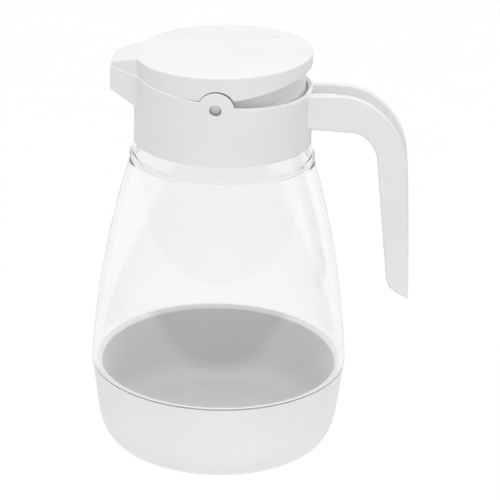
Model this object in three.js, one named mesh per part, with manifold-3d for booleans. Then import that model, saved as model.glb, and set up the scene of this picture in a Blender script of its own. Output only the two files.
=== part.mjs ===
// Syrup dispenser: a clear body on a white cup-shaped base, closed by a white collar that carries
// the spout and the handle, with a rocking lid hinged in the collar's two ears.
// Millimetres, +Z up, origin at the centre of the foot. The spout points to -X and the handle to +X.
import * as THREE from "three";
import { mergeVertices } from "three/addons/utils/BufferGeometryUtils.js";
import Module from "manifold-3d";

const wasm = await Module();
wasm.setup();

// Meshing
const ROUND_STEPS = 64; // facets round the axis
const CURVE_STEPS = 7; // facets along one curve of an outline
const ROUND_PULL = 0.6; // how far a rounding is pulled to its corner: 0.55 is a quarter of an ellipse
const PIN_STEPS = 16; // facets round a pivot
const MERGE_MM = 1e-4; // corners closer than this are one
const REACH = 120; // longer than the object in any direction from its axis

// Gaps between pieces
const GAP = 0.3; // between pieces that touch

// Base: a cup with a rounded foot
const FOOT_R = 52.6;
const FOOT_TOP = { r: 61.7, z: 15.9 }; // where the foot's rounding runs into the straight side
const FOOT_CORNER_R = 59.7; // where the straight side would reach the floor
const BASE_RIM = { r: 64.9, z: 41.7 };
const BASE_EDGE = 0.3; // bevel of the rim's outer edge
const CUP_MOUTH_R = 58.8;
const CUP_EDGE = 1.3; // bevel of the rim's inner edge
const CUP_WALL = { r: 58.0, z: 17.0 }; // where the inner wall runs into the inner rounding
const CUP_FLOOR = { r: 48.5, z: 3.0 };

// Body: a bell with a beaded foot and a collared neck
const BODY_BEAD = { r: 65.0, height: 1.4 };
const BODY_FOOT = { r: 64.6, z: BASE_RIM.z + GAP };
const BODY_BULGE = { r: 62.06, z: 96.4 };
const BODY_SHOULDER = { r: 45.9, z: 150.4 };
const BODY_WALL = 2.6;
const NECK_NOTCH = { r: 45.5, z: 151.0 };
const NECK_BEAD = { r: 46.4, low: 152.5, high: 153.6 };
const NECK_TOP = { r: 44.3, z: 160.7 };
const NECK_BORE_R = 42.8;

// Collar: a tube that stands on the neck's rim
const COLLAR_R = 44.0;
const COLLAR_BORE_R = 41.7;
const COLLAR_FOOT = 161.0;
const REAR_RIM = { ear: 190.6, end: 188.4 }; // falls from the ears to the handle

// Hinge: the axis runs along Y through both ears
const HINGE = { x: 0, z: 189.3 };
const EAR_R = 9.1;
const ARCH = { r: 9.85, x: 0.4, z: 189.35 }; // the lid's arch round an ear, a little to its rear
const PIN_HOLE_R = 2.9;
const PIN_R = 2.55;
const PIN_END = 42.8; // a little short of the ear's outer face

// Spout and the lid's beak above it
const SPOUT_ROOT = { x: -41.2, y: 15.5 };
const SPOUT_TIP = { x: -55.0, y: 10.0 };
const SPOUT_NOSE = -55.6; // pulls the tip's front face into a slight curve
const SPOUT_WALL = 2.0;
const SPOUT_FLOOR = { tip: 186.7, root: 179.4 };
const TROUGH_DEPTH = 2.6; // thickness of the trough's floor
const SEAM = { ear: 193.3, root: 195.7, tip: 198.1 }; // parting line between collar and lid
const BEAK_TOP = { root: 204.3, tip: 200.3 };

// Lid: a domed disc, its skirt cut away behind the ears, on a plug that enters the collar
const LID_R = 43.7;
const LID_TOP = 205.6; // edge of the top face, at the middle of the lid
const LID_DOME = 0.9;
const LID_EDGE = 0.8;
const LID_SLOPE = Math.tan(THREE.MathUtils.degToRad(1.71)); // the top rises to the rear
const LID_PLATE = 2.6;
const PLUG = { r: 40.4, bore: 38.0, z: 184.0 };
const PLUG_REAR = { x: 14.0, z: 188.5 }; // behind the hinge the plug is shorter
const REAR_EDGE = { start: 194.3, pull: [24.0, 196.4], end: 201.0 }; // lower edge of the skirt's rear half
const REAR_CHAMFER = { inner: 40.6, outer: 43.3, low: 197.9, high: 200.5 };

// Handle: a strap of channel section, open to the outside, as (x, z) points and the pulls between them
const HANDLE_HALF_WIDTH = 11.0;
const HANDLE_RAIL = 3.7;
const HANDLE_WEB = 2.6;
const HANDLE_ROOT = { x: 40.5, top: 187.6, under: 170.7 }; // starts inside the collar's wall
const HANDLE_END = [95.6, 83.3];
const HANDLE_OUTER = {
  bend: [59.2, 188.3],
  bendPulls: [72.0, 188.4, 89.4, 175.9],
  shoulder: [91.5, 155.0],
  gripPull: [93.4, 138.0],
};
const HANDLE_INNER = {
  endPulls: [91.5, 85.2, 85.6, 87.0],
  heel: [84.4, 93.1],
  shoulder: [77.1, 156.8],
  bendPulls: [76.4, 163.2, 71.0, 169.8],
  bend: [64.3, 169.9],
};
const CHANNEL_STEP = { start: 42.6, end: 56.0, halfWidth: 6.7 }; // thicker rails next to the collar

// A closed three.js geometry as a solid that can be joined and cut.
function solid(geometry) {
  const bare = geometry.index ? geometry.toNonIndexed() : geometry.clone();
  bare.deleteAttribute("normal");
  bare.deleteAttribute("uv");
  const merged = mergeVertices(bare, MERGE_MM);
  const corners = merged.index.array;
  const kept = [];
  for (let i = 0; i < corners.length; i += 3) {
    const [a, b, c] = corners.slice(i, i + 3);
    if (a !== b && b !== c && c !== a) kept.push(a, b, c);
  }
  return new wasm.Manifold(
    new wasm.Mesh({
      numProp: 3,
      vertProperties: merged.attributes.position.array,
      triVerts: new Uint32Array(kept),
    }),
  );
}

// A named mesh from a solid.
function piece(name, body, material) {
  const made = body.getMesh();
  const geometry = new THREE.BufferGeometry();
  geometry.setAttribute("position", new THREE.Float32BufferAttribute(made.vertProperties, 3));
  geometry.setIndex(new THREE.Uint32BufferAttribute(made.triVerts, 1));
  geometry.computeVertexNormals();
  const mesh = new THREE.Mesh(geometry, material);
  mesh.name = name;
  return mesh;
}

// Turns an outline of (radius, height) points about Z. slope lifts each point by its own x times slope.
function turned(outline, slope = 0) {
  const geometry = new THREE.LatheGeometry(outline.getPoints(CURVE_STEPS), ROUND_STEPS);
  geometry.rotateX(Math.PI / 2);
  const place = geometry.attributes.position;
  for (let i = 0; i < place.count; i++) place.setZ(i, place.getZ(i) + slope * place.getX(i));
  return solid(geometry);
}

// A plain cylinder about Z between two heights.
function drum(radius, low, high, slope = 0) {
  const outline = new THREE.Path();
  outline.moveTo(0, low);
  outline.lineTo(radius, low);
  outline.lineTo(radius, high);
  outline.lineTo(0, high);
  return turned(outline, slope);
}

// A side outline of (x, z) points, thick along Y between two distances from the middle plane.
function sideSlab(outline, from, to) {
  const settings = { depth: to - from, bevelEnabled: false, curveSegments: CURVE_STEPS };
  const geometry = new THREE.ExtrudeGeometry(outline, settings);
  geometry.rotateX(Math.PI / 2);
  geometry.translate(0, to, 0);
  return solid(geometry);
}

// A plan outline of (x, y) points, tall between two heights.
function planSlab(outline, low, high) {
  const settings = { depth: high - low, bevelEnabled: false, curveSegments: CURVE_STEPS };
  const geometry = new THREE.ExtrudeGeometry(outline, settings);
  geometry.translate(0, 0, low);
  return solid(geometry);
}

// A closed shape through straight corners.
function polygon(corners) {
  return new THREE.Shape(corners.map(([a, b]) => new THREE.Vector2(a, b)));
}

// Both pivots: a round bar along Y on the hinge axis, at the two ends that stand between from and to.
function pivots(radius, from, to) {
  const bars = [-1, 1].map((side) => {
    const bar = new THREE.CylinderGeometry(radius, radius, to - from, PIN_STEPS);
    bar.translate(HINGE.x, (side * (from + to)) / 2, HINGE.z);
    return solid(bar);
  });
  return bars[0].add(bars[1]);
}

// Rounds a corner of an outline, from where the line is to the point to.
function roundTo(line, corner, to) {
  const from = line.currentPoint;
  line.bezierCurveTo(
    from.x + ROUND_PULL * (corner[0] - from.x),
    from.y + ROUND_PULL * (corner[1] - from.y),
    to[0] + ROUND_PULL * (corner[0] - to[0]),
    to[1] + ROUND_PULL * (corner[1] - to[1]),
    to[0],
    to[1],
  );
}

function makeBase() {
  const side = new THREE.Path();
  side.moveTo(0, 0);
  side.lineTo(FOOT_R, 0);
  roundTo(side, [FOOT_CORNER_R, 0], [FOOT_TOP.r, FOOT_TOP.z]);
  side.lineTo(BASE_RIM.r, BASE_RIM.z - BASE_EDGE);
  side.lineTo(BASE_RIM.r - BASE_EDGE, BASE_RIM.z);
  side.lineTo(CUP_MOUTH_R + CUP_EDGE, BASE_RIM.z);
  side.lineTo(CUP_MOUTH_R, BASE_RIM.z - CUP_EDGE);
  side.lineTo(CUP_WALL.r, CUP_WALL.z);
  roundTo(side, [CUP_WALL.r, CUP_FLOOR.z], [CUP_FLOOR.r, CUP_FLOOR.z]);
  side.lineTo(0, CUP_FLOOR.z);
  return turned(side);
}

function makeBody() {
  const side = new THREE.Path();
  side.moveTo(BODY_FOOT.r - BODY_WALL, BODY_FOOT.z);
  side.lineTo(BODY_BEAD.r, BODY_FOOT.z);
  side.lineTo(BODY_BEAD.r, BODY_FOOT.z + BODY_BEAD.height);
  side.quadraticCurveTo(BODY_BULGE.r, BODY_BULGE.z, BODY_SHOULDER.r, BODY_SHOULDER.z);
  side.lineTo(NECK_NOTCH.r, NECK_NOTCH.z);
  side.lineTo(NECK_BEAD.r, NECK_BEAD.low);
  side.lineTo(NECK_BEAD.r, NECK_BEAD.high);
  side.lineTo(NECK_TOP.r, NECK_TOP.z);
  side.lineTo(NECK_BORE_R, NECK_TOP.z);
  side.lineTo(NECK_BORE_R, NECK_NOTCH.z);
  side.quadraticCurveTo(
    BODY_BULGE.r - BODY_WALL,
    BODY_BULGE.z,
    BODY_FOOT.r - BODY_WALL,
    BODY_FOOT.z + BODY_BEAD.height,
  );
  side.closePath();
  return turned(side);
}

// Plan of the spout, drawn in by wall on each side.
function spoutPlan(wall, back) {
  const lean = (SPOUT_ROOT.y - SPOUT_TIP.y) / (SPOUT_ROOT.x - SPOUT_TIP.x);
  const tipX = SPOUT_TIP.x + wall;
  const tipY = SPOUT_TIP.y + lean * wall - wall;
  const backY = tipY + lean * (back - tipX);
  const plan = new THREE.Shape();
  plan.moveTo(back, backY);
  plan.lineTo(tipX, tipY);
  plan.quadraticCurveTo(SPOUT_NOSE + wall, 0, tipX, -tipY);
  plan.lineTo(back, -backY);
  plan.closePath();
  return plan;
}

// Height of the spout's sloping underside at x.
function spoutUnder(x) {
  const rise = (SPOUT_FLOOR.tip - SPOUT_FLOOR.root) / (SPOUT_TIP.x - SPOUT_ROOT.x);
  return SPOUT_FLOOR.root + rise * (x - SPOUT_ROOT.x);
}

// Height of the parting line in front of the ears.
function seam(x) {
  const [from, to] = x > SPOUT_ROOT.x ? ["ear", "root"] : ["root", "tip"];
  const [a, b] = x > SPOUT_ROOT.x ? [-EAR_R, SPOUT_ROOT.x] : [SPOUT_ROOT.x, SPOUT_TIP.x];
  return SEAM[from] + ((SEAM[to] - SEAM[from]) * (x - a)) / (b - a);
}

// Angle on a circle at which it has risen above its centre by rise, on the front or the rear side.
function angleAt(radius, rise, front) {
  const angle = Math.asin(rise / radius);
  return front ? Math.PI - angle : angle;
}

// Height of the collar's rim behind the ears.
function rearRim(x) {
  return REAR_RIM.ear + ((REAR_RIM.end - REAR_RIM.ear) * (x - EAR_R)) / (COLLAR_R - EAR_R);
}

// Side outline of everything below the parting line: the front seam, the ear and the sloping rear rim.
function belowSeam() {
  const line = new THREE.Shape();
  line.moveTo(-REACH, 0);
  line.lineTo(-REACH, seam(-REACH) - GAP / 2);
  line.lineTo(SPOUT_ROOT.x, SEAM.root - GAP / 2);
  const front = angleAt(EAR_R, SEAM.ear - GAP / 2 - HINGE.z, true);
  const rear = angleAt(EAR_R, REAR_RIM.ear - HINGE.z, false);
  line.absarc(HINGE.x, HINGE.z, EAR_R, front, rear, true);
  line.lineTo(REACH, rearRim(REACH));
  line.lineTo(REACH, 0);
  line.closePath();
  return sideSlab(line, -REACH, REACH);
}

// Side outline of everything above it: the front seam, the arch over the ear and the rising rear edge.
function aboveSeam() {
  const line = new THREE.Shape();
  line.moveTo(-REACH, 2 * REACH);
  line.lineTo(-REACH, seam(-REACH) + GAP / 2);
  line.lineTo(SPOUT_ROOT.x, SEAM.root + GAP / 2);
  const front = angleAt(ARCH.r, SEAM.ear + GAP / 2 - ARCH.z, true);
  const rear = angleAt(ARCH.r, REAR_EDGE.start - ARCH.z, false);
  line.absarc(ARCH.x, ARCH.z, ARCH.r, front, rear, true);
  line.quadraticCurveTo(...REAR_EDGE.pull, LID_R, REAR_EDGE.end);
  line.lineTo(REACH, REAR_EDGE.end);
  line.lineTo(REACH, 2 * REACH);
  line.closePath();
  return sideSlab(line, -REACH, REACH);
}

function makeSpout() {
  const under = polygon([
    [-REACH, spoutUnder(-REACH)],
    [SPOUT_ROOT.x + 2 * SPOUT_WALL, spoutUnder(SPOUT_ROOT.x + 2 * SPOUT_WALL)],
    [SPOUT_ROOT.x + 2 * SPOUT_WALL, REACH * 2],
    [-REACH, REACH * 2],
  ]);
  const block = planSlab(spoutPlan(0, SPOUT_ROOT.x + 2 * SPOUT_WALL), COLLAR_FOOT, LID_TOP);
  return block.intersect(sideSlab(under, -REACH, REACH));
}

// The open channel in the spout, from the bore to just behind the tip.
function makeTrough() {
  const back = -PLUG.bore;
  const floor = polygon([
    [-REACH, spoutUnder(-REACH) + TROUGH_DEPTH],
    [back, spoutUnder(back) + TROUGH_DEPTH],
    [back, REACH * 2],
    [-REACH, REACH * 2],
  ]);
  const block = planSlab(spoutPlan(SPOUT_WALL, back), COLLAR_FOOT, LID_TOP);
  return block.intersect(sideSlab(floor, -REACH, REACH));
}

// Draws the handle's inner line, from its end up to the bend below the collar, moved outwards by web.
function handleInner(line, web) {
  const moved = (values) => values.map((value) => value + web);
  line.bezierCurveTo(...moved(HANDLE_INNER.endPulls), ...moved(HANDLE_INNER.heel));
  line.lineTo(...moved(HANDLE_INNER.shoulder));
  line.bezierCurveTo(...moved(HANDLE_INNER.bendPulls), ...moved(HANDLE_INNER.bend));
}

function makeHandle() {
  const strap = new THREE.Shape();
  strap.moveTo(HANDLE_ROOT.x, HANDLE_ROOT.top);
  strap.lineTo(...HANDLE_OUTER.bend);
  strap.bezierCurveTo(...HANDLE_OUTER.bendPulls, ...HANDLE_OUTER.shoulder);
  strap.quadraticCurveTo(...HANDLE_OUTER.gripPull, ...HANDLE_END);
  handleInner(strap, 0);
  strap.lineTo(HANDLE_ROOT.x, HANDLE_ROOT.under);
  strap.closePath();
  const whole = sideSlab(strap, -HANDLE_HALF_WIDTH, HANDLE_HALF_WIDTH);
  const wide = channel(HANDLE_HALF_WIDTH - HANDLE_RAIL, CHANNEL_STEP.end);
  const narrow = channel(CHANNEL_STEP.halfWidth, CHANNEL_STEP.start);
  return whole.subtract(wide).subtract(narrow);
}

// The handle's open channel: everything outside its web, from startX outwards.
function channel(halfWidth, startX) {
  const open = new THREE.Shape();
  open.moveTo(HANDLE_END[0] + HANDLE_WEB, HANDLE_END[1] + HANDLE_WEB);
  handleInner(open, HANDLE_WEB);
  open.lineTo(startX, HANDLE_ROOT.under + HANDLE_WEB);
  open.lineTo(startX, 2 * REACH);
  open.lineTo(REACH, 2 * REACH);
  open.closePath();
  return sideSlab(open, -halfWidth, halfWidth);
}

function makeCollar() {
  return drum(COLLAR_R, COLLAR_FOOT, LID_TOP)
    .add(makeSpout())
    .add(makeHandle())
    .intersect(belowSeam())
    .subtract(drum(COLLAR_BORE_R, 0, 2 * REACH))
    .subtract(makeTrough())
    .subtract(pivots(PIN_HOLE_R, PLUG.r, COLLAR_R + 2));
}

// The lid's disc with its domed top and rounded edge, down to the plug's lower end.
function makeDisc() {
  const side = new THREE.Path();
  side.moveTo(0, PLUG.z);
  side.lineTo(LID_R, PLUG.z);
  side.lineTo(LID_R, LID_TOP - LID_EDGE);
  side.lineTo(LID_R - LID_EDGE / 3, LID_TOP - LID_EDGE / 3);
  side.lineTo(LID_R - LID_EDGE, LID_TOP);
  side.quadraticCurveTo(LID_R / 2, LID_TOP + LID_DOME, 0, LID_TOP + LID_DOME);
  return turned(side, LID_SLOPE);
}

// The beak that covers the spout, sloping down from the disc to the tip.
function makeBeak() {
  const inside = SPOUT_ROOT.x + 2 * SPOUT_WALL;
  const drop = (BEAK_TOP.root - BEAK_TOP.tip) / (SPOUT_ROOT.x - SPOUT_TIP.x);
  const side = polygon([
    [SPOUT_NOSE, PLUG.z],
    [inside, PLUG.z],
    [inside, BEAK_TOP.root],
    [SPOUT_ROOT.x, BEAK_TOP.root],
    [SPOUT_NOSE, BEAK_TOP.root + drop * (SPOUT_NOSE - SPOUT_ROOT.x)],
  ]);
  return planSlab(spoutPlan(0, inside), PLUG.z, LID_TOP).intersect(sideSlab(side, -REACH, REACH));
}

// The sloping underside of the rim at the rear, between the skirt and the plug.
function makeRearChamfer() {
  const { inner, outer, low, high } = REAR_CHAMFER;
  const side = new THREE.Path();
  side.moveTo(PLUG.bore, low);
  side.lineTo(inner, low);
  side.lineTo(outer, high);
  side.lineTo(outer, LID_TOP - LID_PLATE);
  side.lineTo(PLUG.bore, LID_TOP - LID_PLATE);
  side.closePath();
  const front = ARCH.x + ARCH.r + GAP;
  const rear = polygon([
    [front, 0],
    [REACH, 0],
    [REACH, 2 * REACH],
    [front, 2 * REACH],
  ]);
  return turned(side).intersect(sideSlab(rear, -REACH, REACH));
}

// The ring under the lid that enters the collar, cut short behind the hinge.
function makePlug() {
  const short = polygon([
    [PLUG_REAR.x, 0],
    [REACH, 0],
    [REACH, PLUG_REAR.z],
    [PLUG_REAR.x, PLUG_REAR.z],
  ]);
  return drum(PLUG.r, PLUG.z, LID_TOP - LID_PLATE).subtract(sideSlab(short, -REACH, REACH));
}

function makeLid() {
  return makeDisc()
    .add(makeBeak())
    .intersect(aboveSeam())
    .add(makeRearChamfer())
    .add(makePlug())
    .add(pivots(PIN_R, PLUG.bore, PIN_END))
    .subtract(drum(PLUG.bore, 0, LID_TOP - LID_PLATE, LID_SLOPE));
}

// Each white moulding has a material of its own, and the body is clear.
function whitePlastic() {
  return new THREE.MeshStandardMaterial({ color: 0xf1f1ef, roughness: 0.35, metalness: 0 });
}

function clearPlastic() {
  return new THREE.MeshStandardMaterial({
    color: 0xf4f7f8,
    roughness: 0.05,
    metalness: 0,
    transparent: true,
    opacity: 0.25,
  });
}

const dispenser = new THREE.Group();
dispenser.add(piece("base", makeBase(), whitePlastic()));
dispenser.add(piece("body", makeBody(), clearPlastic()));
dispenser.add(piece("collar", makeCollar(), whitePlastic()));
dispenser.add(piece("lid", makeLid(), whitePlastic()));

export default dispenser;
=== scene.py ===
"""Syrup dispenser: clear bell-shaped body, white cup base, collar with spout and handle, rocking lid.

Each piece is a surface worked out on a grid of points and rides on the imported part's own bodies.
Sizes below are millimetres in the part's frame: +Z up, spout to -X, handle to +X, hinge along Y.
"""
import math

import bmesh
import bpy
import numpy as np
from mathutils import Matrix, Vector


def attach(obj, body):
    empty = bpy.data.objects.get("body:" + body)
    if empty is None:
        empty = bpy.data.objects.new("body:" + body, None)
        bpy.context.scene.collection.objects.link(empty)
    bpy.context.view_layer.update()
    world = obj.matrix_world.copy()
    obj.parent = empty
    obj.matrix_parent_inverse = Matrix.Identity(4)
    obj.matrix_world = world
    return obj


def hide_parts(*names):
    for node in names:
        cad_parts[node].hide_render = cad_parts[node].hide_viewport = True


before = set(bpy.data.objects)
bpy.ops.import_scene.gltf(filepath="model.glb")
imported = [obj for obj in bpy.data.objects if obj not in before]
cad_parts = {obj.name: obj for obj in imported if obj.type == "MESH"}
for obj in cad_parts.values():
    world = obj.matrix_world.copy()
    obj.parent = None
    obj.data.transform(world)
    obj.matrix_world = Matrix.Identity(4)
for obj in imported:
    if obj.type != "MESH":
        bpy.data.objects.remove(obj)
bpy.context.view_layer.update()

MM = 0.001

# Meshes: distances in metres below which points are one and faces are nothing, angle of a sharp edge
MERGE = 2e-6
THINNEST = 1e-6
SHARP = 32
NEVER_ZERO = 1e-9
# A rounding takes at most this share of an edge, and this pull towards the corner when it is eased
EDGE_SHARE = 0.24
ROUND_PULL = 0.6

# Base, a cup with a rounded foot: pairs are (radius, height)
FOOT_R = 52.6
FOOT_CORNER_R = 59.7
FOOT_TOP = (61.7, 15.9)
BASE_RIM = (64.9, 41.7)
BASE_EDGE = 0.15
RIM_INNER_R = 63.4
CUP_MOUTH = (59.8, 41.45)
CUP_EDGE = 0.8
CUP_WALL = (58.0, 17.0)
CUP_FLOOR = (48.5, 3.0)
# Top and thickness of the lip above the groove, depth and height of the groove
SEAM_LIP = (42.45, 0.03)
SEAM_GROOVE = (1.6, 1.15)

# Body, a bell with a low bead round its neck: pairs are (radius, height)
BODY_FOOT = (65.0, 42.5)
BODY_START = (65.0, 43.4)
BODY_BULGE = (62.06, 96.4)
BODY_SHOULDER = (45.9, 150.4)
BODY_WALL = 2.25
BODY_INNER_R = 62.8
BODY_FOOT_EDGE = 0.05
NECK_TOP = (44.05, 160.98)
NECK_WALL = 2.3
NECK_EDGES = (0.03, 0.2)
# Height, half width and how far it stands out
NECK_NOTCH = (151.1, 0.6, -0.12)
NECK_BEAD = (153.05, 1.2, 0.6)

# Collar; its rim has one height next to the ears and one at the very rear
COLLAR_R = 44.0
COLLAR_BORE_R = 41.7
COLLAR_FOOT = 161.0
COLLAR_FOOT_EDGE = 0.05
COLLAR_RIM_EDGE = (0.35, 0.4)
COLLAR_BORE_EDGE = 0.3
REAR_RIM = (190.6, 188.4)
# Where the rim drops behind an ear: from this x to that, down to a height. Extra columns stand next to it
EAR_NOTCH = (5.5, 6.5, 183.5)
EAR_COLUMNS = (8.4, 9.2)
# Half width of the opening to the spout, at its foot and at its top
MOUTH = (13.3, 13.5)

# Ears and the pins in them
HINGE_Z = 189.3
EAR_R = 8.8
EAR_PROUD = 0.015
EAR_EDGE = (0.02, 0.4)
EAR_EDGE_RISE = (0.1, 0.4)
PIN_HOLE_R = 2.9
PIN_HOLE_EDGES = (0.3, 0.2)
PIN_R = 2.4
PIN_START = 37.2
PIN_END = 43.9
PIN_EDGE = 0.1
PIN_FALL = 0.117
PIN_LIFT = 0.45

# Spout, and the beak of the lid above it: pairs are (x, half width), or root and tip
SPOUT_ROOT = (-41.2, 15.5)
SPOUT_TIP = (-55.0, 10.0)
SPOUT_NOSE = -55.6
SPOUT_BACK = -40.4
SPOUT_WALL = 2.0
SPOUT_FLARE = 5.0
SPOUT_CORNER = 0.6
SPOUT_EDGES = (0.5, 0.35, 0.35, 0.8)
SPOUT_SINK = 0.05
SPOUT_UNDER = (179.4, 186.7)
SIDE_SHARE = 0.8
FLARE_BITE = 0.03
TROUGH_FLOOR = 2.6
BEAK_FLARE = 1.6
BEAK_INSET = 0.4
BEAK_BACK = -38.4
BEAK_TOP = (204.3, 200.3)
BEAK_EDGES = (0.45, 0.1)
BEAK_PROUD = 0.015
# The beak's root goes down into the disc by this much between two x
BEAK_SINK = 0.6
BEAK_SINK_X = (-41.0, -39.8)

# Parting line of collar and lid: heights at the ears, the spout's root and its tip, and its run past that
SEAM = (193.3, 195.7, 198.1)
SEAM_RUN_ON = (4.0, 0.7)
SEAM_GAP = 0.04
# The lid's edge above it, at the spout's root, at the x below and at the ears
SEAM_CLEAR = (-0.12, -0.12, 0.3)
SEAM_CLEAR_X = -24.0

# Lid
LID_R = 43.7
LID_DRAFT = 0.25
LID_TOP = 205.6
LID_DOME = 0.9
DOME_INSET = 0.8
LID_SLOPE = math.tan(math.radians(1.71))
LID_PLATE = 2.6
LID_EDGE = 0.7
SKIRT_EDGE = 0.08
BEAK_BLEND = 0.35
BEAK_REACH = (15.0, 16.5)
# Radius of the arch over an ear, and the (x, z) of its middle
ARCH = (9.55, 0.55, 189.3)
ARCH_SPAN = 9.6
# Outer and inner radius and foot of the plug, and its radius at the rear between two angles
PLUG = (39.0, 36.6, 184.0)
PLUG_EDGE = 0.5
PLUG_REAR = (40.4, 22.0, 45.0)
REAR_EDGE = ((8.8, 194.3), (24.0, 196.4), (43.7, 201.0))
REAR_CHAMFER = ((40.6, 197.9), (43.3, 200.5))
# Small darker grey streak on the lid's top: place, turn in degrees and half sizes
DARK_SPOT = (22.4, 22.0, 206.6)
DARK_SPOT_TURN = 42.0
DARK_SPOT_SIZE = (4.4, 1.3, 3.0)

# Handle: pairs are the (x, z) of the strap's outer and inner line
STRAP_HALF = 11.0
STRAP_RAIL = 3.7
STRAP_WEB = 2.6
WEB_SHARE = 0.98
STRAP_EDGES = (0.9, 0.9, 0.5, 0.6, 0.7, 0.7, 0.6, 0.5)
STRAP_ROOT = (40.5, 187.6)
STRAP_BEND = (59.2, 188.3)
STRAP_SHOULDER = (91.5, 155.0)
STRAP_TIP = (95.6, 83.3)
STRAP_UNDER = (170.7, 169.9)
BEND_PULLS = ((72.0, 188.4), (89.4, 175.9))
GRIP_PULL = (93.4, 138.0)
INNER_BEND = (64.3, 169.9)
INNER_BEND_PULLS = ((71.0, 169.8), (76.4, 163.2))
INNER_SHOULDER = (77.1, 156.8)
INNER_TIP = (84.4, 93.1)
INNER_TIP_PULLS = ((85.6, 87.0), (91.5, 85.2))
ROOT_COLUMNS = (42.6, 46.0, 51.0)
ROOT_STEP = (55.4, 56.6)
ROOT_RAIL = 4.3
ROOT_LIP = 0.55
# Stations along the bend, the grip and the tip, and the step of the outer grip line where the tip begins
STATIONS = (34, 24, 20)
TIP_STEP = 88

# Tints and roughness of the white plastic
WHITE = ("#e7e7e7", "#ebebeb", (0.36, 0.44))
# Darker and rougher white: its grey is painted shade, for the cup's inside and the pin ends
SHADE_GREY = ("#cfcfcf", "#d3d3d3", (0.55, 0.65))
DARK_SPOT_TINT = "#dadada"

# Stage: floor and card in mm, then azimuth, elevation and metres to the aim of lamp and camera
FLOOR_HALF, FLOOR_Z = 6000, -0.1
CARD_RINGS, CARD_Z = (0, 60, 120, 200.0), -0.05
AIM = (0, 0, 0.1)
LAMP_AT = (4.7, 57.0, 1.6)
LAMP_SIZE, LAMP_WATTS = 0.08, 9.0
CAMERA_AT = (4.9, 22.65, 1.185)
CAMERA_ROLL = 1.09
SENSOR = 36.0
# Focal length, frame and sideways swing in pixels of the picture
FOCAL_PX, FRAME_PX, SWING_PX = 2340, 500, 29.5


# Outlines

def points(*axes):
    """Coordinates, each a number, a row or a grid, spread to one shape and joined into points."""
    return np.stack(np.broadcast_arrays(*axes), -1)


def bezier(*pulls, steps=24):
    """Curve through its end points: each pull weighted by its Bernstein polynomial."""
    pulls = np.array(pulls, float)
    n = len(pulls) - 1
    t = np.linspace(0, 1, steps + 1)[:, None]
    return sum(math.comb(n, i) * (1 - t) ** (n - i) * t ** i * p for i, p in enumerate(pulls))


def eased(start, corner, end, steps=18):
    """Rounding from start to end that is pulled towards corner from both sides."""
    a, c, b = (np.array(p, float) for p in (start, corner, end))
    return bezier(a, a + ROUND_PULL * (c - a), b + ROUND_PULL * (c - b), b, steps=steps)


def fillet(before, corner, after, radius, steps=5):
    """Rounds one corner, of one outline or of many at once.

    The curve leaves the edge at radius from the corner and joins the next edge at the same distance,
    with the corner as its pull. A point on each edge at twice that distance keeps the flats evenly shaded.
    """
    before, corner, after = (np.asarray(p, float) for p in (before, corner, after))
    sides = []
    for other in (before, after):
        edge = other - corner
        length = np.linalg.norm(edge, axis=-1, keepdims=True)
        reach = np.minimum(radius, EDGE_SHARE * length)
        sides.append((edge / np.maximum(length, NEVER_ZERO) * reach)[..., None, :])
    s = np.linspace(0, 1, steps)[:, None]
    curve = sides[0] * (1 - s) ** 2 + sides[1] * s ** 2
    whole = np.concatenate([2 * sides[0], curve, 2 * sides[1]], axis=-2)
    return corner[..., None, :] + whole


def rounded_loop(corners, radii):
    """A closed outline from its corners, each rounded by its own radius."""
    count = len(corners)
    return np.concatenate(
        [fillet(corners[k - 1], corners[k], corners[(k + 1) % count], radii[k]) for k in range(count)],
        axis=-2,
    )


def resampled(line, count):
    """Points at even steps of length along a polyline."""
    run = np.concatenate([[0], np.cumsum(np.linalg.norm(np.diff(line, axis=0), axis=1))])
    want = np.linspace(0, run[-1], count)
    return np.stack([np.interp(want, run, line[:, k]) for k in range(line.shape[1])], -1)


# Meshes

def skin(name, grid, loop_rows=False, loop_cols=False, caps=False):
    """Mesh over a grid of points in mm: each point joins its neighbours along rows and columns.

    loop_rows and loop_cols close the grid on itself, caps fills the first and last row with one face.
    Points that fall together, as at a pole, are merged and the faces are turned outwards.
    """
    rows, cols = grid.shape[:2]
    index = np.arange(rows * cols).reshape(rows, cols)
    ends = [index[0].tolist(), index[-1][::-1].tolist()] if caps else []
    if loop_rows:
        index = np.vstack([index, index[:1]])
    if loop_cols:
        index = np.hstack([index, index[:, :1]])
    quads = np.stack([index[:-1, :-1], index[1:, :-1], index[1:, 1:], index[:-1, 1:]], -1).reshape(-1, 4)
    mesh = bpy.data.meshes.new(name)
    mesh.from_pydata((grid.reshape(-1, 3) * MM).tolist(), [], quads.tolist() + ends)
    work = bmesh.new()
    work.from_mesh(mesh)
    bmesh.ops.remove_doubles(work, verts=work.verts, dist=MERGE)
    bmesh.ops.dissolve_degenerate(work, edges=work.edges, dist=THINNEST)
    bmesh.ops.recalc_face_normals(work, faces=work.faces)
    work.to_mesh(mesh)
    work.free()
    mesh.polygons.foreach_set("use_smooth", np.ones(len(mesh.polygons), bool))
    mesh.set_sharp_from_angle(angle=math.radians(SHARP))
    piece = bpy.data.objects.new(name, mesh)
    bpy.context.scene.collection.objects.link(piece)
    return piece


def per_face(mesh, what):
    """A row of three numbers for each face of a mesh, such as its middle or its normal."""
    rows = np.empty(3 * len(mesh.polygons))
    mesh.polygons.foreach_get(what, rows)
    return rows.reshape(-1, 3)


def round_the_axis(radius, height, angle):
    """Points at (radius, height) for each angle about Z.

    radius and height are one row for all angles, or a row for each of them.
    """
    angle = np.asarray(angle)[:, None]
    return points(radius * np.cos(angle), radius * np.sin(angle), height)


def turn(count=256):
    """Even angles of one full turn."""
    return np.arange(count) * (2 * math.pi / count)


def turn_with(extra, count=180):
    """Angles of a full turn that are even but also hit each extra angle of the half turn, on both sides."""
    half = np.concatenate([np.linspace(0, math.pi, count + 1), extra])
    half = np.unique(np.round(half, 6))
    return np.concatenate([half, 2 * math.pi - half[-2:0:-1]])


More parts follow.
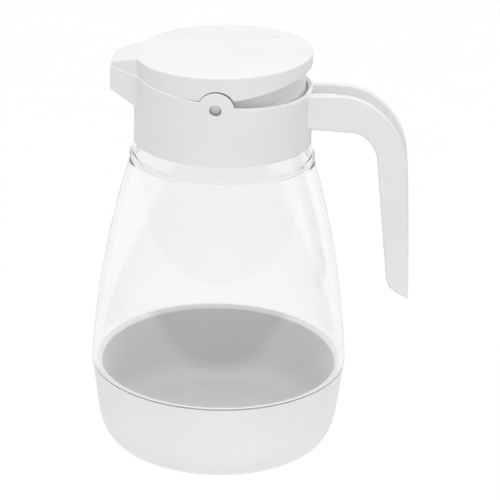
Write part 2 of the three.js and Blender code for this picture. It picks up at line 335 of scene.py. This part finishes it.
# Shared lines of collar and lid

def seam_height(x):
    """Parting line in front of the ears: a gentle rise to the spout's root, a steeper one to its tip."""
    further, higher = SEAM_RUN_ON
    return np.interp(x, [SPOUT_TIP[0] - further, SPOUT_TIP[0], SPOUT_ROOT[0], -EAR_R],
                     [SEAM[2] + higher, SEAM[2], SEAM[1], SEAM[0]])


def lid_seam(x):
    """Lower edge of the lid in front: let into the rim at the spout, a hair above it next to the ears."""
    return seam_height(x) + np.interp(x, [SPOUT_ROOT[0], SEAM_CLEAR_X, -EAR_R], SEAM_CLEAR)


def spout_under(x):
    """Sloping underside of the spout, one straight line through its root and its tip."""
    share = (x - SPOUT_ROOT[0]) / (SPOUT_TIP[0] - SPOUT_ROOT[0])
    return SPOUT_UNDER[0] + share * (SPOUT_UNDER[1] - SPOUT_UNDER[0])


def spout_plan(wall, back, flare=0.0, round_r=COLLAR_R):
    """Plan of the spout from back round its nose and back again, drawn in by wall.

    The sides taper to a slightly bowed front. With a flare, each side leaves the round of that radius in a
    curve that reaches as far along both.
    """
    lean = (SPOUT_ROOT[1] - SPOUT_TIP[1]) / (SPOUT_ROOT[0] - SPOUT_TIP[0])
    tip = np.array([SPOUT_TIP[0] + wall, SPOUT_TIP[1] + lean * wall - wall])
    root = np.array([back, tip[1] + lean * (back - tip[0])])
    run = tip - root
    side = root + run * np.linspace(0, SIDE_SHARE, 9)[:, None]
    if flare:
        a, b, c = run @ run, 2 * root @ run, root @ root - round_r ** 2
        meet = root + run * (math.sqrt(b * b - 4 * a * c) - b) / (2 * a)
        start = math.atan2(meet[1], meet[0]) - flare / round_r
        leave = (round_r - FLARE_BITE) * np.array([math.cos(start), math.sin(start)])
        reach = meet + (tip - meet) * flare / np.linalg.norm(tip - meet)
        far = side[-1]
        side = np.concatenate([bezier(leave, meet, reach, steps=6), [0.5 * (reach + far), far]])
    half_nose = bezier(tip, (SPOUT_NOSE + wall, 0), tip * (1, -1), steps=24)[4:13]
    corner = fillet(root, tip, half_nose[0], SPOUT_CORNER, steps=7)
    half = np.concatenate([side, corner, half_nose])
    return np.concatenate([half, half[-2::-1] * (1, -1)])


# Pieces

def base_cup():
    """Outline of foot, side, seam groove, rim and cup, turned about the axis.

    The cup's wall and floor take the second material, a darker grey that paints the shade inside the cup.
    """
    lip_top, lip = SEAM_LIP
    deep, tall = SEAM_GROOVE
    lip_z = lip_top - lip
    lean = (BASE_RIM[0] - FOOT_TOP[0]) / (BASE_RIM[1] - FOOT_TOP[1])
    ledge = (BASE_RIM[0] - lean * (lip + tall), lip_z - tall)
    inner = BASE_RIM[0] - deep
    fall = (RIM_INNER_R, lip_top)
    line = np.concatenate([
        [(0, 0)],
        eased((FOOT_R, 0), (FOOT_CORNER_R, 0), FOOT_TOP),
        fillet(FOOT_TOP, ledge, (inner, ledge[1]), BASE_EDGE),
        [(inner, ledge[1]), (inner, lip_z), (BASE_RIM[0], lip_z), (BASE_RIM[0], lip_top), fall],
        fillet(fall, CUP_MOUTH, CUP_WALL, CUP_EDGE),
        eased(CUP_WALL, (CUP_WALL[0], CUP_FLOOR[1]), CUP_FLOOR),
        [(0, CUP_FLOOR[1])],
    ])
    piece = skin("base_cup", round_the_axis(line[:, 0], line[:, 1], turn()), loop_rows=True)
    middle, outward = per_face(piece.data, "center") / MM, per_face(piece.data, "normal")
    below_mouth = middle[:, 2] < CUP_MOUTH[1] - 0.5 * CUP_EDGE
    on_wall = ((middle * outward)[:, :2].sum(axis=1) < -0.5) & below_mouth
    on_floor = (outward[:, 2] > 0.9) & (np.hypot(middle[:, 0], middle[:, 1]) < CUP_FLOOR[0])
    piece.data.polygons.foreach_set("material_index", (on_wall | on_floor).astype(np.int32))
    return piece


def clear_bell():
    """Outline of the bell's outside, beaded neck and inside, turned about the axis into a closed wall.

    The neck is a straight taper with a low groove and a low bead on it, each a bell curve of the height.
    """
    outside = bezier(BODY_START, BODY_BULGE, BODY_SHOULDER, steps=40)
    rise = np.linspace(BODY_SHOULDER[1], NECK_TOP[1], 60)[1:-1]
    taper = np.interp(rise, [BODY_SHOULDER[1], NECK_TOP[1]], [BODY_SHOULDER[0], NECK_TOP[0]])
    swell = sum(high * np.exp(-((rise - z) / wide) ** 2) for z, wide, high in (NECK_NOTCH, NECK_BEAD))
    inner_foot = (BODY_INNER_R, BODY_FOOT[1])
    bore_top = (NECK_TOP[0] - NECK_WALL, NECK_TOP[1])
    inside = bezier((BODY_SHOULDER[0] - NECK_WALL, BODY_SHOULDER[1]),
                    (BODY_BULGE[0] - BODY_WALL, BODY_BULGE[1]), (BODY_INNER_R, BODY_START[1]), steps=40)
    line = np.concatenate([
        fillet(inner_foot, BODY_FOOT, BODY_START, BODY_FOOT_EDGE),
        outside,
        points(taper + swell, rise),
        fillet((taper[-1], rise[-1]), NECK_TOP, bore_top, NECK_EDGES[0]),
        fillet(NECK_TOP, bore_top, inside[0], NECK_EDGES[1]),
        inside,
        fillet(inside[-1], inner_foot, BODY_FOOT, BODY_FOOT_EDGE),
    ])
    grid = round_the_axis(line[:, 0], line[:, 1], turn())
    return skin("clear_bell", grid, loop_rows=True, loop_cols=True)


def collar_tube():
    """Wall section carried round the axis, with a rim that follows the seam.

    The rim falls gently to the rear, follows the parting line in front, drops into a notch behind each ear
    and down to the trough's floor at the spout.
    """
    notch_in, notch_out, notch_z = EAR_NOTCH
    marks = [math.acos(s * d / COLLAR_R) for s in (-1, 1) for d in (notch_in, notch_out, *EAR_COLUMNS)]
    marks += [math.pi - math.asin(d / COLLAR_R) for d in MOUTH]
    angle = turn_with(marks)
    x, y = COLLAR_R * np.cos(angle), COLLAR_R * np.sin(angle)
    rear = np.interp(x, [EAR_R, COLLAR_R], REAR_RIM)
    rim = np.where(x > 0, rear, seam_height(x) - SEAM_GAP)
    rim = rim + np.interp(np.abs(x), [notch_in, notch_out], [1, 0]) * (notch_z - rim)
    drop = np.interp(np.abs(y), MOUTH, [1, 0]) * (x < 0)
    rim = rim + drop * (spout_under(x) + TROUGH_FLOOR - rim)
    place = [(COLLAR_R, COLLAR_FOOT), (COLLAR_R, rim), (COLLAR_BORE_R, rim), (COLLAR_BORE_R, COLLAR_FOOT)]
    corners = [points(r, z + 0 * angle) for r, z in place]
    rim_edge = np.interp(x, [-EAR_R, EAR_R], COLLAR_RIM_EDGE)[:, None]
    section = rounded_loop(corners, [COLLAR_FOOT_EDGE, rim_edge, COLLAR_BORE_EDGE, COLLAR_BORE_EDGE])
    grid = round_the_axis(section[..., 0], section[..., 1], angle)
    return skin("collar_tube", grid, loop_rows=True, loop_cols=True)


def ear(name, side):
    """A round ear on the collar's wall: a ring section carried round the hinge axis, laid on the cylinder.

    Its upper edge is rounded. The lower edge lies flush in the collar's wall.
    """
    angle = turn(120)
    edge = np.interp(np.sin(angle), EAR_EDGE_RISE, EAR_EDGE)[:, None]
    face, back = COLLAR_R + EAR_PROUD, COLLAR_BORE_R - EAR_PROUD
    place = [(PIN_HOLE_R, face), (EAR_R, face), (EAR_R, back), (PIN_HOLE_R, back)]
    corners = [points(r, depth + 0 * angle) for r, depth in place]
    section = rounded_loop(corners, [PIN_HOLE_EDGES[0], edge, edge, PIN_HOLE_EDGES[1]])
    reach, depth = section[..., 0], section[..., 1]
    x = reach * np.cos(angle)[:, None]
    z = HINGE_Z + reach * np.sin(angle)[:, None]
    grid = points(x, side * np.sqrt(depth ** 2 - x ** 2), z)
    return skin(name, grid, loop_rows=True, loop_cols=True)


def spout():
    """Trough section carried round the spout's plan.

    From the middle of the underside out to the edge, up the side, over the rim, down inside and back along
    the floor.
    """
    out_x, out_y = spout_plan(0, SPOUT_BACK, SPOUT_FLARE).T
    in_x, in_y = spout_plan(SPOUT_WALL, SPOUT_BACK).T
    under = spout_under(out_x)
    floor = spout_under(in_x) + TROUGH_FLOOR
    sink = np.where(np.hypot(out_x, out_y) < COLLAR_R, SPOUT_SINK, 0)
    corners = [
        points(np.minimum(out_x, SPOUT_BACK), 0, under),
        points(out_x, out_y, under),
        points(out_x, out_y, seam_height(out_x) - SEAM_GAP - sink),
        points(in_x, in_y, seam_height(in_x) - SEAM_GAP),
        points(in_x, in_y, floor),
        points(in_x, 0, floor),
    ]
    bends = [fillet(*corners[k:k + 3], radius) for k, radius in enumerate(SPOUT_EDGES)]
    grid = np.concatenate([corners[0][:, None], *bends, corners[-1][:, None]], axis=1)
    return skin("spout", grid, caps=True)


def handle_strap():
    """Channel section carried along the strap, between its outer and its inner line.

    At each station the two rails reach from the inner to the outer line, and the web lies on the inner
    line. Next to the collar the rails are thicker and their inner edges stand up as a low lip.
    """
    on_bend, on_grip, on_tip = STATIONS
    root_x = np.array([*ROOT_COLUMNS, *ROOT_STEP])
    under_x = [STRAP_ROOT[0], INNER_BEND[0]]
    root_out = points(root_x, np.interp(root_x, [STRAP_ROOT[0], STRAP_BEND[0]],
                                        [STRAP_ROOT[1], STRAP_BEND[1]]))
    root_in = points(root_x, np.interp(root_x, under_x, STRAP_UNDER))
    bend_out = bezier(STRAP_BEND, *BEND_PULLS, STRAP_SHOULDER, steps=80)
    bend_in = np.concatenate([[(STRAP_BEND[0], np.interp(STRAP_BEND[0], under_x, STRAP_UNDER))],
                              bezier(INNER_BEND, *INNER_BEND_PULLS, INNER_SHOULDER, steps=80)])
    grip_out = bezier(STRAP_SHOULDER, GRIP_PULL, STRAP_TIP, steps=100)
    grip_in = np.array([INNER_SHOULDER, INNER_TIP])
    tip_in = bezier(INNER_TIP, *INNER_TIP_PULLS, STRAP_TIP, steps=60)
    outer = np.concatenate([root_out, resampled(bend_out, on_bend),
                            resampled(grip_out[:TIP_STEP], on_grip)[1:],
                            resampled(grip_out[TIP_STEP - 1:], on_tip)[1:]])
    inner = np.concatenate([root_in, resampled(bend_in, on_bend), resampled(grip_in, on_grip)[1:],
                            resampled(tip_in, on_tip)[1:]])
    depth = np.linalg.norm(outer - inner, axis=1, keepdims=True)
    web = np.minimum(STRAP_WEB, WEB_SHARE * depth)
    web_line = inner + (outer - inner) / np.maximum(depth, NEVER_ZERO) * web
    along_root = np.interp(outer[:, 0], ROOT_STEP, [1, 0])
    gap = STRAP_HALF - STRAP_RAIL - along_root * (ROOT_RAIL - STRAP_RAIL)
    lip = outer + points(0, ROOT_LIP * along_root)
    places = [(inner, -STRAP_HALF), (inner, STRAP_HALF), (outer, STRAP_HALF), (lip, gap),
              (web_line, gap), (web_line, -gap), (lip, -gap), (outer, -STRAP_HALF)]
    grid = rounded_loop([points(line[:, 0], y, line[:, 1]) for line, y in places], STRAP_EDGES)
    return skin("handle_strap", grid, loop_cols=True, caps=True)


def lid_top(x, y):
    """Top of the lid: a shallow dome on a plane that rises to the rear.

    In front of the disc it runs over, by a smooth minimum, into the slope of the beak.
    """
    reach = np.clip(np.hypot(x, y) / (LID_R - DOME_INSET), 0, 1)
    disc = LID_TOP + LID_SLOPE * x + LID_DOME * (1 - reach ** 2)
    fall = (BEAK_TOP[0] - BEAK_TOP[1]) / (SPOUT_ROOT[0] - SPOUT_TIP[0])
    slope = BEAK_TOP[0] + fall * (x - SPOUT_ROOT[0])
    joined = -BEAK_BLEND * np.logaddexp(-disc / BEAK_BLEND, -slope / BEAK_BLEND)
    within = np.interp(np.abs(y), BEAK_REACH, [1, 0])
    return disc + within * (joined - disc)


def lid_disc():
    """Section carried round the axis: domed top, rounded edge, skirt, plug and hollow underside.

    The skirt's lower edge follows the parting line in front, arches over the ears and rises to the rear,
    where the underside slopes in to the plug. The plug is widest at the very rear. The rings of the top lie
    closer where the beak leaves it.
    """
    plug_r, plug_bore, plug_z = PLUG
    rear_r, *rear_span = PLUG_REAR
    arch_r, arch_x, arch_z = ARCH
    (in_r, in_z), (out_r, out_z) = REAR_CHAMFER
    angle = turn_with([math.acos(v / LID_R) for v in np.linspace(-ARCH_SPAN, ARCH_SPAN, 33)])
    x = LID_R * np.cos(angle)

    def at(r, z):
        return points(r, z + 0 * x)

    arch = arch_z + np.sqrt(np.maximum(arch_r ** 2 - (x - arch_x) ** 2, 0))
    rear_line = bezier(*REAR_EDGE, steps=60)
    rear = np.interp(x, rear_line[:, 0], rear_line[:, 1])
    edge = np.maximum(np.where(x > 0, rear, lid_seam(x)), arch)
    behind = x > arch_x + arch_r
    wall_r = np.interp(np.minimum(angle, 2 * math.pi - angle), np.radians(rear_span), [rear_r, plug_r])
    rings = np.concatenate([np.linspace(0, 22, 12), np.linspace(22.8, 40, 36), np.linspace(40.5, 42.0, 4)])
    top = points(rings, lid_top(rings * np.cos(angle)[:, None], rings * np.sin(angle)[:, None]))
    brim = at(LID_R, lid_top(x, LID_R * np.sin(angle)))
    skirt = at(LID_R - LID_DRAFT, edge)
    chamfer_out = at(out_r, np.where(behind, np.minimum(edge, out_z), edge))
    inner_z = np.where(behind, np.minimum(edge, in_z), edge)
    plug_root, plug_foot = at(wall_r, inner_z), at(wall_r, plug_z)
    bore_foot = at(plug_bore, plug_z)
    bore_root = at(plug_bore, LID_TOP - LID_PLATE + LID_SLOPE * plug_bore * np.cos(angle))
    section = np.concatenate([
        top,
        fillet(top[:, -1], brim, skirt, LID_EDGE),
        fillet(brim, skirt, chamfer_out, SKIRT_EDGE),
        chamfer_out[:, None],
        at(in_r, inner_z)[:, None],
        plug_root[:, None],
        fillet(plug_root, plug_foot, bore_foot, PLUG_EDGE),
        fillet(plug_foot, bore_foot, bore_root, PLUG_EDGE),
        bore_root[:, None],
        at(0, LID_TOP - LID_PLATE)[:, None],
    ], axis=1)
    return skin("lid_disc", round_the_axis(section[..., 0], section[..., 1], angle), loop_rows=True)


def beak():
    """Block over the spout: the spout's plan, from the parting line up to the slope that leaves the disc."""
    x, y = spout_plan(BEAK_INSET, BEAK_BACK, BEAK_FLARE, LID_R - LID_DRAFT).T
    sink = np.interp(x, BEAK_SINK_X, [0, BEAK_SINK])

    def top_at(share):
        return points(x, y * share, lid_top(x, y * share) + BEAK_PROUD - sink)

    side_low, middle_low = points(x, y, lid_seam(x)), points(x, 0, lid_seam(x))
    grid = np.concatenate([
        *[top_at(share)[:, None] for share in (0, 0.25, 0.5, 0.75)],
        fillet(top_at(0.75), top_at(1.0), side_low, BEAK_EDGES[0]),
        fillet(top_at(1.0), side_low, middle_low, BEAK_EDGES[1]),
        middle_low[:, None],
    ], axis=1)
    return skin("beak", grid, caps=True)


def hinge_pin(name, side):
    """Round stub whose end falls in towards its foot, as a snap-in pin does.

    The outline of (radius, distance from the middle) is turned about the hinge axis, and its end is drawn
    in by the square of the depth below its top.
    """
    line = np.concatenate([
        [(0, PIN_START), (PIN_R, PIN_START)],
        fillet((PIN_R, PIN_START), (PIN_R, PIN_END), (0, PIN_END), PIN_EDGE),
        points(np.linspace(0.8 * PIN_R, 0, 6), PIN_END),
    ])
    angle = turn(48)[:, None]
    x, rise = line[:, 0] * np.cos(angle), line[:, 0] * np.sin(angle)
    at_end = line[:, 1] > PIN_START
    reach = line[:, 1] - PIN_FALL * (PIN_R - rise) ** 2 * at_end
    return skin(name, points(x, side * reach, HINGE_Z + PIN_LIFT + rise), loop_rows=True)


# Materials

def linear(code):
    """sRGB hex colour as linear red, green, blue and full cover."""
    c = np.array([int(code[i:i + 2], 16) for i in (1, 3, 5)]) / 255
    c = np.where(c <= 0.04045, c / 12.92, ((c + 0.055) / 1.055) ** 2.4)
    return (*c.tolist(), 1.0)


def add(tree, kind, links=(), **settings):
    """Adds one node; settings are its properties or, by name, its inputs, and links feed its inputs."""
    made = tree.nodes.new(kind)
    for name, value in settings.items():
        if hasattr(made, name):
            setattr(made, name, value)
        else:
            made.inputs[name.replace("_", " ")].default_value = value
    for name, source in dict(links).items():
        tree.links.new(source, made.inputs[name])
    return made


def new_material(name):
    """A material with no nodes yet, and its tree."""
    made = bpy.data.materials.new(name)
    made.use_nodes = True
    made.node_tree.nodes.clear()
    return made, made.node_tree


def moulded_polypropylene(name, dark, pale, gloss, dark_spot=False):
    """White polypropylene from a lightly etched mould: soft gloss, fine grain, faint clouds in the melt.

    dark and pale are the ends of the cloud's tint, gloss the ends of its roughness. With the last argument
    set, the piece also shows a small darker grey streak on the lid's top.
    """
    made, tree = new_material(name)
    place = add(tree, "ShaderNodeTexCoord").outputs["Object"]
    cloud = add(tree, "ShaderNodeTexNoise", {"Vector": place},
                Scale=1 / (28 * MM), Detail=3.0, Roughness=0.5).outputs["Fac"]
    tint = add(tree, "ShaderNodeValToRGB", {"Fac": cloud})
    for stop, position, code in zip(tint.color_ramp.elements, (0.3, 0.7), (dark, pale)):
        stop.position, stop.color = position, linear(code)
    colour = tint.outputs["Color"]
    if dark_spot:
        near = add(tree, "ShaderNodeMapping", {"Vector": place}, vector_type="TEXTURE",
                   Location=[v * MM for v in DARK_SPOT], Rotation=(0, 0, math.radians(DARK_SPOT_TURN)),
                   Scale=[v * MM for v in DARK_SPOT_SIZE])
        off = add(tree, "ShaderNodeVectorMath", {0: near.outputs["Vector"]}, operation="LENGTH")
        streak = add(tree, "ShaderNodeMapRange", {"Value": off.outputs["Value"]},
                     interpolation_type="SMOOTHSTEP", From_Min=0.45, From_Max=1.0, To_Min=1.0, To_Max=0.0)
        colour = add(tree, "ShaderNodeMix", {"Factor": streak.outputs["Result"], "A": colour},
                     data_type="RGBA", B=linear(DARK_SPOT_TINT)).outputs["Result"]
    # Mould grain is near 0.1 mm; drawn at 0.6 mm so that it shows.
    grain = add(tree, "ShaderNodeTexNoise", {"Vector": place},
                Scale=1 / (0.6 * MM), Detail=2.0, Roughness=0.5)
    polish = add(tree, "ShaderNodeMapRange", {"Value": cloud}, To_Min=gloss[0], To_Max=gloss[1])
    bump = add(tree, "ShaderNodeBump", {"Height": grain.outputs["Fac"]}, Strength=0.06, Distance=0.05 * MM)
    shader = add(tree, "ShaderNodeBsdfPrincipled",
                 {"Base Color": colour, "Roughness": polish.outputs["Result"],
                  "Normal": bump.outputs["Normal"]}, IOR=1.49)
    add(tree, "ShaderNodeOutputMaterial", {"Surface": shader.outputs["BSDF"]})
    return made


def clear_polycarbonate():
    """Clear polycarbonate from a polished mould: smooth gloss and slight waves of flow, lets light inside.

    The neck's ring is a little cloudier than the bell, which shows it as a pale grey band.
    """
    made, tree = new_material("moulded_clear_polycarbonate")
    place = add(tree, "ShaderNodeTexCoord").outputs["Object"]
    flow = add(tree, "ShaderNodeTexNoise", {"Vector": place},
               Scale=1 / (16 * MM), Detail=1.0, Roughness=0.4).outputs["Fac"]
    bump = add(tree, "ShaderNodeBump", {"Height": flow}, Strength=0.05, Distance=0.3 * MM)
    haze = add(tree, "ShaderNodeMapRange", {"Value": flow}, To_Min=0.01, To_Max=0.05)
    height = add(tree, "ShaderNodeSeparateXYZ", {"Vector": place})
    ring = add(tree, "ShaderNodeMapRange", {"Value": height.outputs["Z"]}, interpolation_type="SMOOTHSTEP",
               From_Min=(BODY_SHOULDER[1] - 0.5) * MM, From_Max=(BODY_SHOULDER[1] + 1.5) * MM)
    tint = add(tree, "ShaderNodeMix", {"Factor": ring.outputs["Result"]}, data_type="RGBA",
               A=linear("#fdfdfd"), B=linear("#f5f5f5"))
    shader = add(tree, "ShaderNodeBsdfPrincipled",
                 {"Base Color": tint.outputs["Result"], "Normal": bump.outputs["Normal"],
                  "Roughness": haze.outputs["Result"]}, IOR=1.585, Transmission_Weight=1.0)
    through = add(tree, "ShaderNodeBsdfTransparent", Color=linear("#e8e8e8"))
    ray = add(tree, "ShaderNodeLightPath")
    both = add(tree, "ShaderNodeMixShader", {"Fac": ray.outputs["Is Shadow Ray"],
                                             1: shader.outputs["BSDF"], 2: through.outputs["BSDF"]})
    add(tree, "ShaderNodeOutputMaterial", {"Surface": both.outputs["Shader"]})
    return made


def pale_sweep():
    """White studio sweep lit from below, so that shadows on it stay faint."""
    made, tree = new_material("white_studio_sweep")
    place = add(tree, "ShaderNodeTexCoord").outputs["Object"]
    fibre = add(tree, "ShaderNodeTexNoise", {"Vector": place}, Scale=1 / (60 * MM), Detail=2.0)
    tone = add(tree, "ShaderNodeMapRange", {"Value": fibre.outputs["Fac"]}, To_Min=0.945, To_Max=0.955)
    matt = add(tree, "ShaderNodeBsdfDiffuse", Color=(0.05, 0.05, 0.05, 1))
    glow = add(tree, "ShaderNodeEmission", {"Strength": tone.outputs["Result"]}, Color=(1, 1, 1, 1))
    both = add(tree, "ShaderNodeAddShader", {0: matt.outputs["BSDF"], 1: glow.outputs["Emission"]})
    add(tree, "ShaderNodeOutputMaterial", {"Surface": both.outputs["Shader"]})
    made.cycles.emission_sampling = "NONE"
    return made


def bounce_card():
    """White card round the foot that throws light up onto the base."""
    made, tree = new_material("white_bounce_card")
    glow = add(tree, "ShaderNodeEmission", Color=(1, 1, 1, 1), Strength=1.0)
    add(tree, "ShaderNodeOutputMaterial", {"Surface": glow.outputs["Emission"]})
    made.cycles.emission_sampling = "NONE"
    return made


# Assembly

white = moulded_polypropylene("moulded_white_polypropylene", *WHITE)
spotted = moulded_polypropylene("spotted_white_polypropylene", *WHITE, dark_spot=True)
# Darker grey plastic that paints the shade inside the cup and in the pin holes
matt = moulded_polypropylene("painted_shade_grey_polypropylene", *SHADE_GREY)
clear = clear_polycarbonate()
base, bell = base_cup(), clear_bell()
pieces = [
    (base, "pitcher", "base", "white_plastic", white),
    (bell, "pitcher", "body", "clear_plastic", clear),
    (collar_tube(), "pitcher", "collar", "white_plastic", white),
    (ear("ear_front", -1), "pitcher", "collar", "white_plastic", white),
    (ear("ear_rear", 1), "pitcher", "collar", "white_plastic", white),
    (spout(), "pitcher", "collar", "white_plastic", white),
    (handle_strap(), "pitcher", "collar", "white_plastic", white),
    (lid_disc(), "lid", "lid", "white_plastic", spotted),
    (beak(), "lid", "lid", "white_plastic", white),
    # The pin ends take the darker grey material: painted shade in the pin holes
    (hinge_pin("hinge_pin_front", -1), "lid", "lid", "white_plastic", matt),
    (hinge_pin("hinge_pin_rear", 1), "lid", "lid", "white_plastic", matt),
]
for piece, body, node, slot, material in pieces:
    piece.data.materials.append(material)
    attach(piece, body)
    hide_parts(node)
# The cup's wall and floor take the darker grey material: painted shade inside the cup
base.data.materials.append(matt)
# Soft light falls on the cup as if the clear wall were not there.
bell.visible_diffuse = False


# Stage: sweep, light and camera

def sweep():
    """Level square of floor under the object, as a grid of points."""
    reach = np.linspace(-FLOOR_HALF, FLOOR_HALF, 9)
    return skin("sweep", points(reach[:, None], reach, FLOOR_Z))


def reflector():
    """Level disc just above the floor, as rings of points about the axis."""
    return skin("reflector", round_the_axis(np.array(CARD_RINGS), CARD_Z, turn(64)), loop_rows=True)


floor = sweep()
floor.data.materials.append(pale_sweep())
floor.visible_diffuse = False
card = reflector()
card.data.materials.append(bounce_card())
card.visible_camera = card.visible_glossy = card.visible_transmission = card.visible_shadow = False

scene = bpy.context.scene
scene.view_settings.view_transform = "Standard"
scene.world = bpy.data.worlds.new("white_room")
scene.world.use_nodes = True
scene.world.cycles.sampling_method = "NONE"
room = scene.world.node_tree
room.nodes.clear()
# Brighter above than below, brightest behind the object, a little darker on the spout's side
way = add(room, "ShaderNodeSeparateXYZ", {"Vector": add(room, "ShaderNodeTexCoord").outputs["Generated"]})
level = add(room, "ShaderNodeMapRange", {"Value": way.outputs["Z"]},
            From_Min=-0.3, From_Max=0.3, To_Min=0.62, To_Max=0.77)
backdrop = add(room, "ShaderNodeMapRange", {"Value": way.outputs["Y"]},
               From_Min=0.1, From_Max=0.8, To_Min=0.0, To_Max=0.22)
side = add(room, "ShaderNodeMapRange", {"Value": way.outputs["X"]},
           From_Min=-0.8, From_Max=0.8, To_Min=-0.03, To_Max=0.0)
both = add(room, "ShaderNodeMath", {0: level.outputs["Result"], 1: backdrop.outputs["Result"]},
           operation="ADD")
total = add(room, "ShaderNodeMath", {0: both.outputs["Value"], 1: side.outputs["Result"]}, operation="ADD")
sky = add(room, "ShaderNodeBackground", {"Strength": total.outputs["Value"]}, Color=(1, 1, 1, 1))
add(room, "ShaderNodeOutputWorld", {"Surface": sky.outputs["Background"]})


def from_angles(azimuth, elevation, distance):
    """Point at a distance from the aim; azimuth 0 is in front (-Y) and grows towards +X."""
    a, e = math.radians(azimuth), math.radians(elevation)
    return Vector(AIM) + distance * Vector(
        (math.sin(a) * math.cos(e), -math.cos(a) * math.cos(e), math.sin(e)))


def aimed_from(place):
    """Place and turn that look from there to the aim with the picture upright."""
    look = (Vector(AIM) - place).to_track_quat("-Z", "Y").to_matrix().to_4x4()
    return Matrix.Translation(place) @ look


lamp = bpy.data.lights.new("softbox", "AREA")
lamp.shape, lamp.size, lamp.energy = "DISK", LAMP_SIZE, LAMP_WATTS
softbox = bpy.data.objects.new("softbox", lamp)
softbox.matrix_world = aimed_from(from_angles(*LAMP_AT))
softbox.visible_transmission = False
scene.collection.objects.link(softbox)

lens = bpy.data.cameras.new("camera")
lens.sensor_width, lens.lens = SENSOR, SENSOR * FOCAL_PX / FRAME_PX
lens.clip_start, lens.clip_end = 0.05, 20.0
camera = bpy.data.objects.new("camera", lens)
roll, swing = math.radians(CAMERA_ROLL), math.atan(SWING_PX / FOCAL_PX)
camera.matrix_world = (aimed_from(from_angles(*CAMERA_AT))
                       @ Matrix.Rotation(roll, 4, "Z") @ Matrix.Rotation(-swing, 4, "Y"))
scene.collection.objects.link(camera)
scene.camera = camera
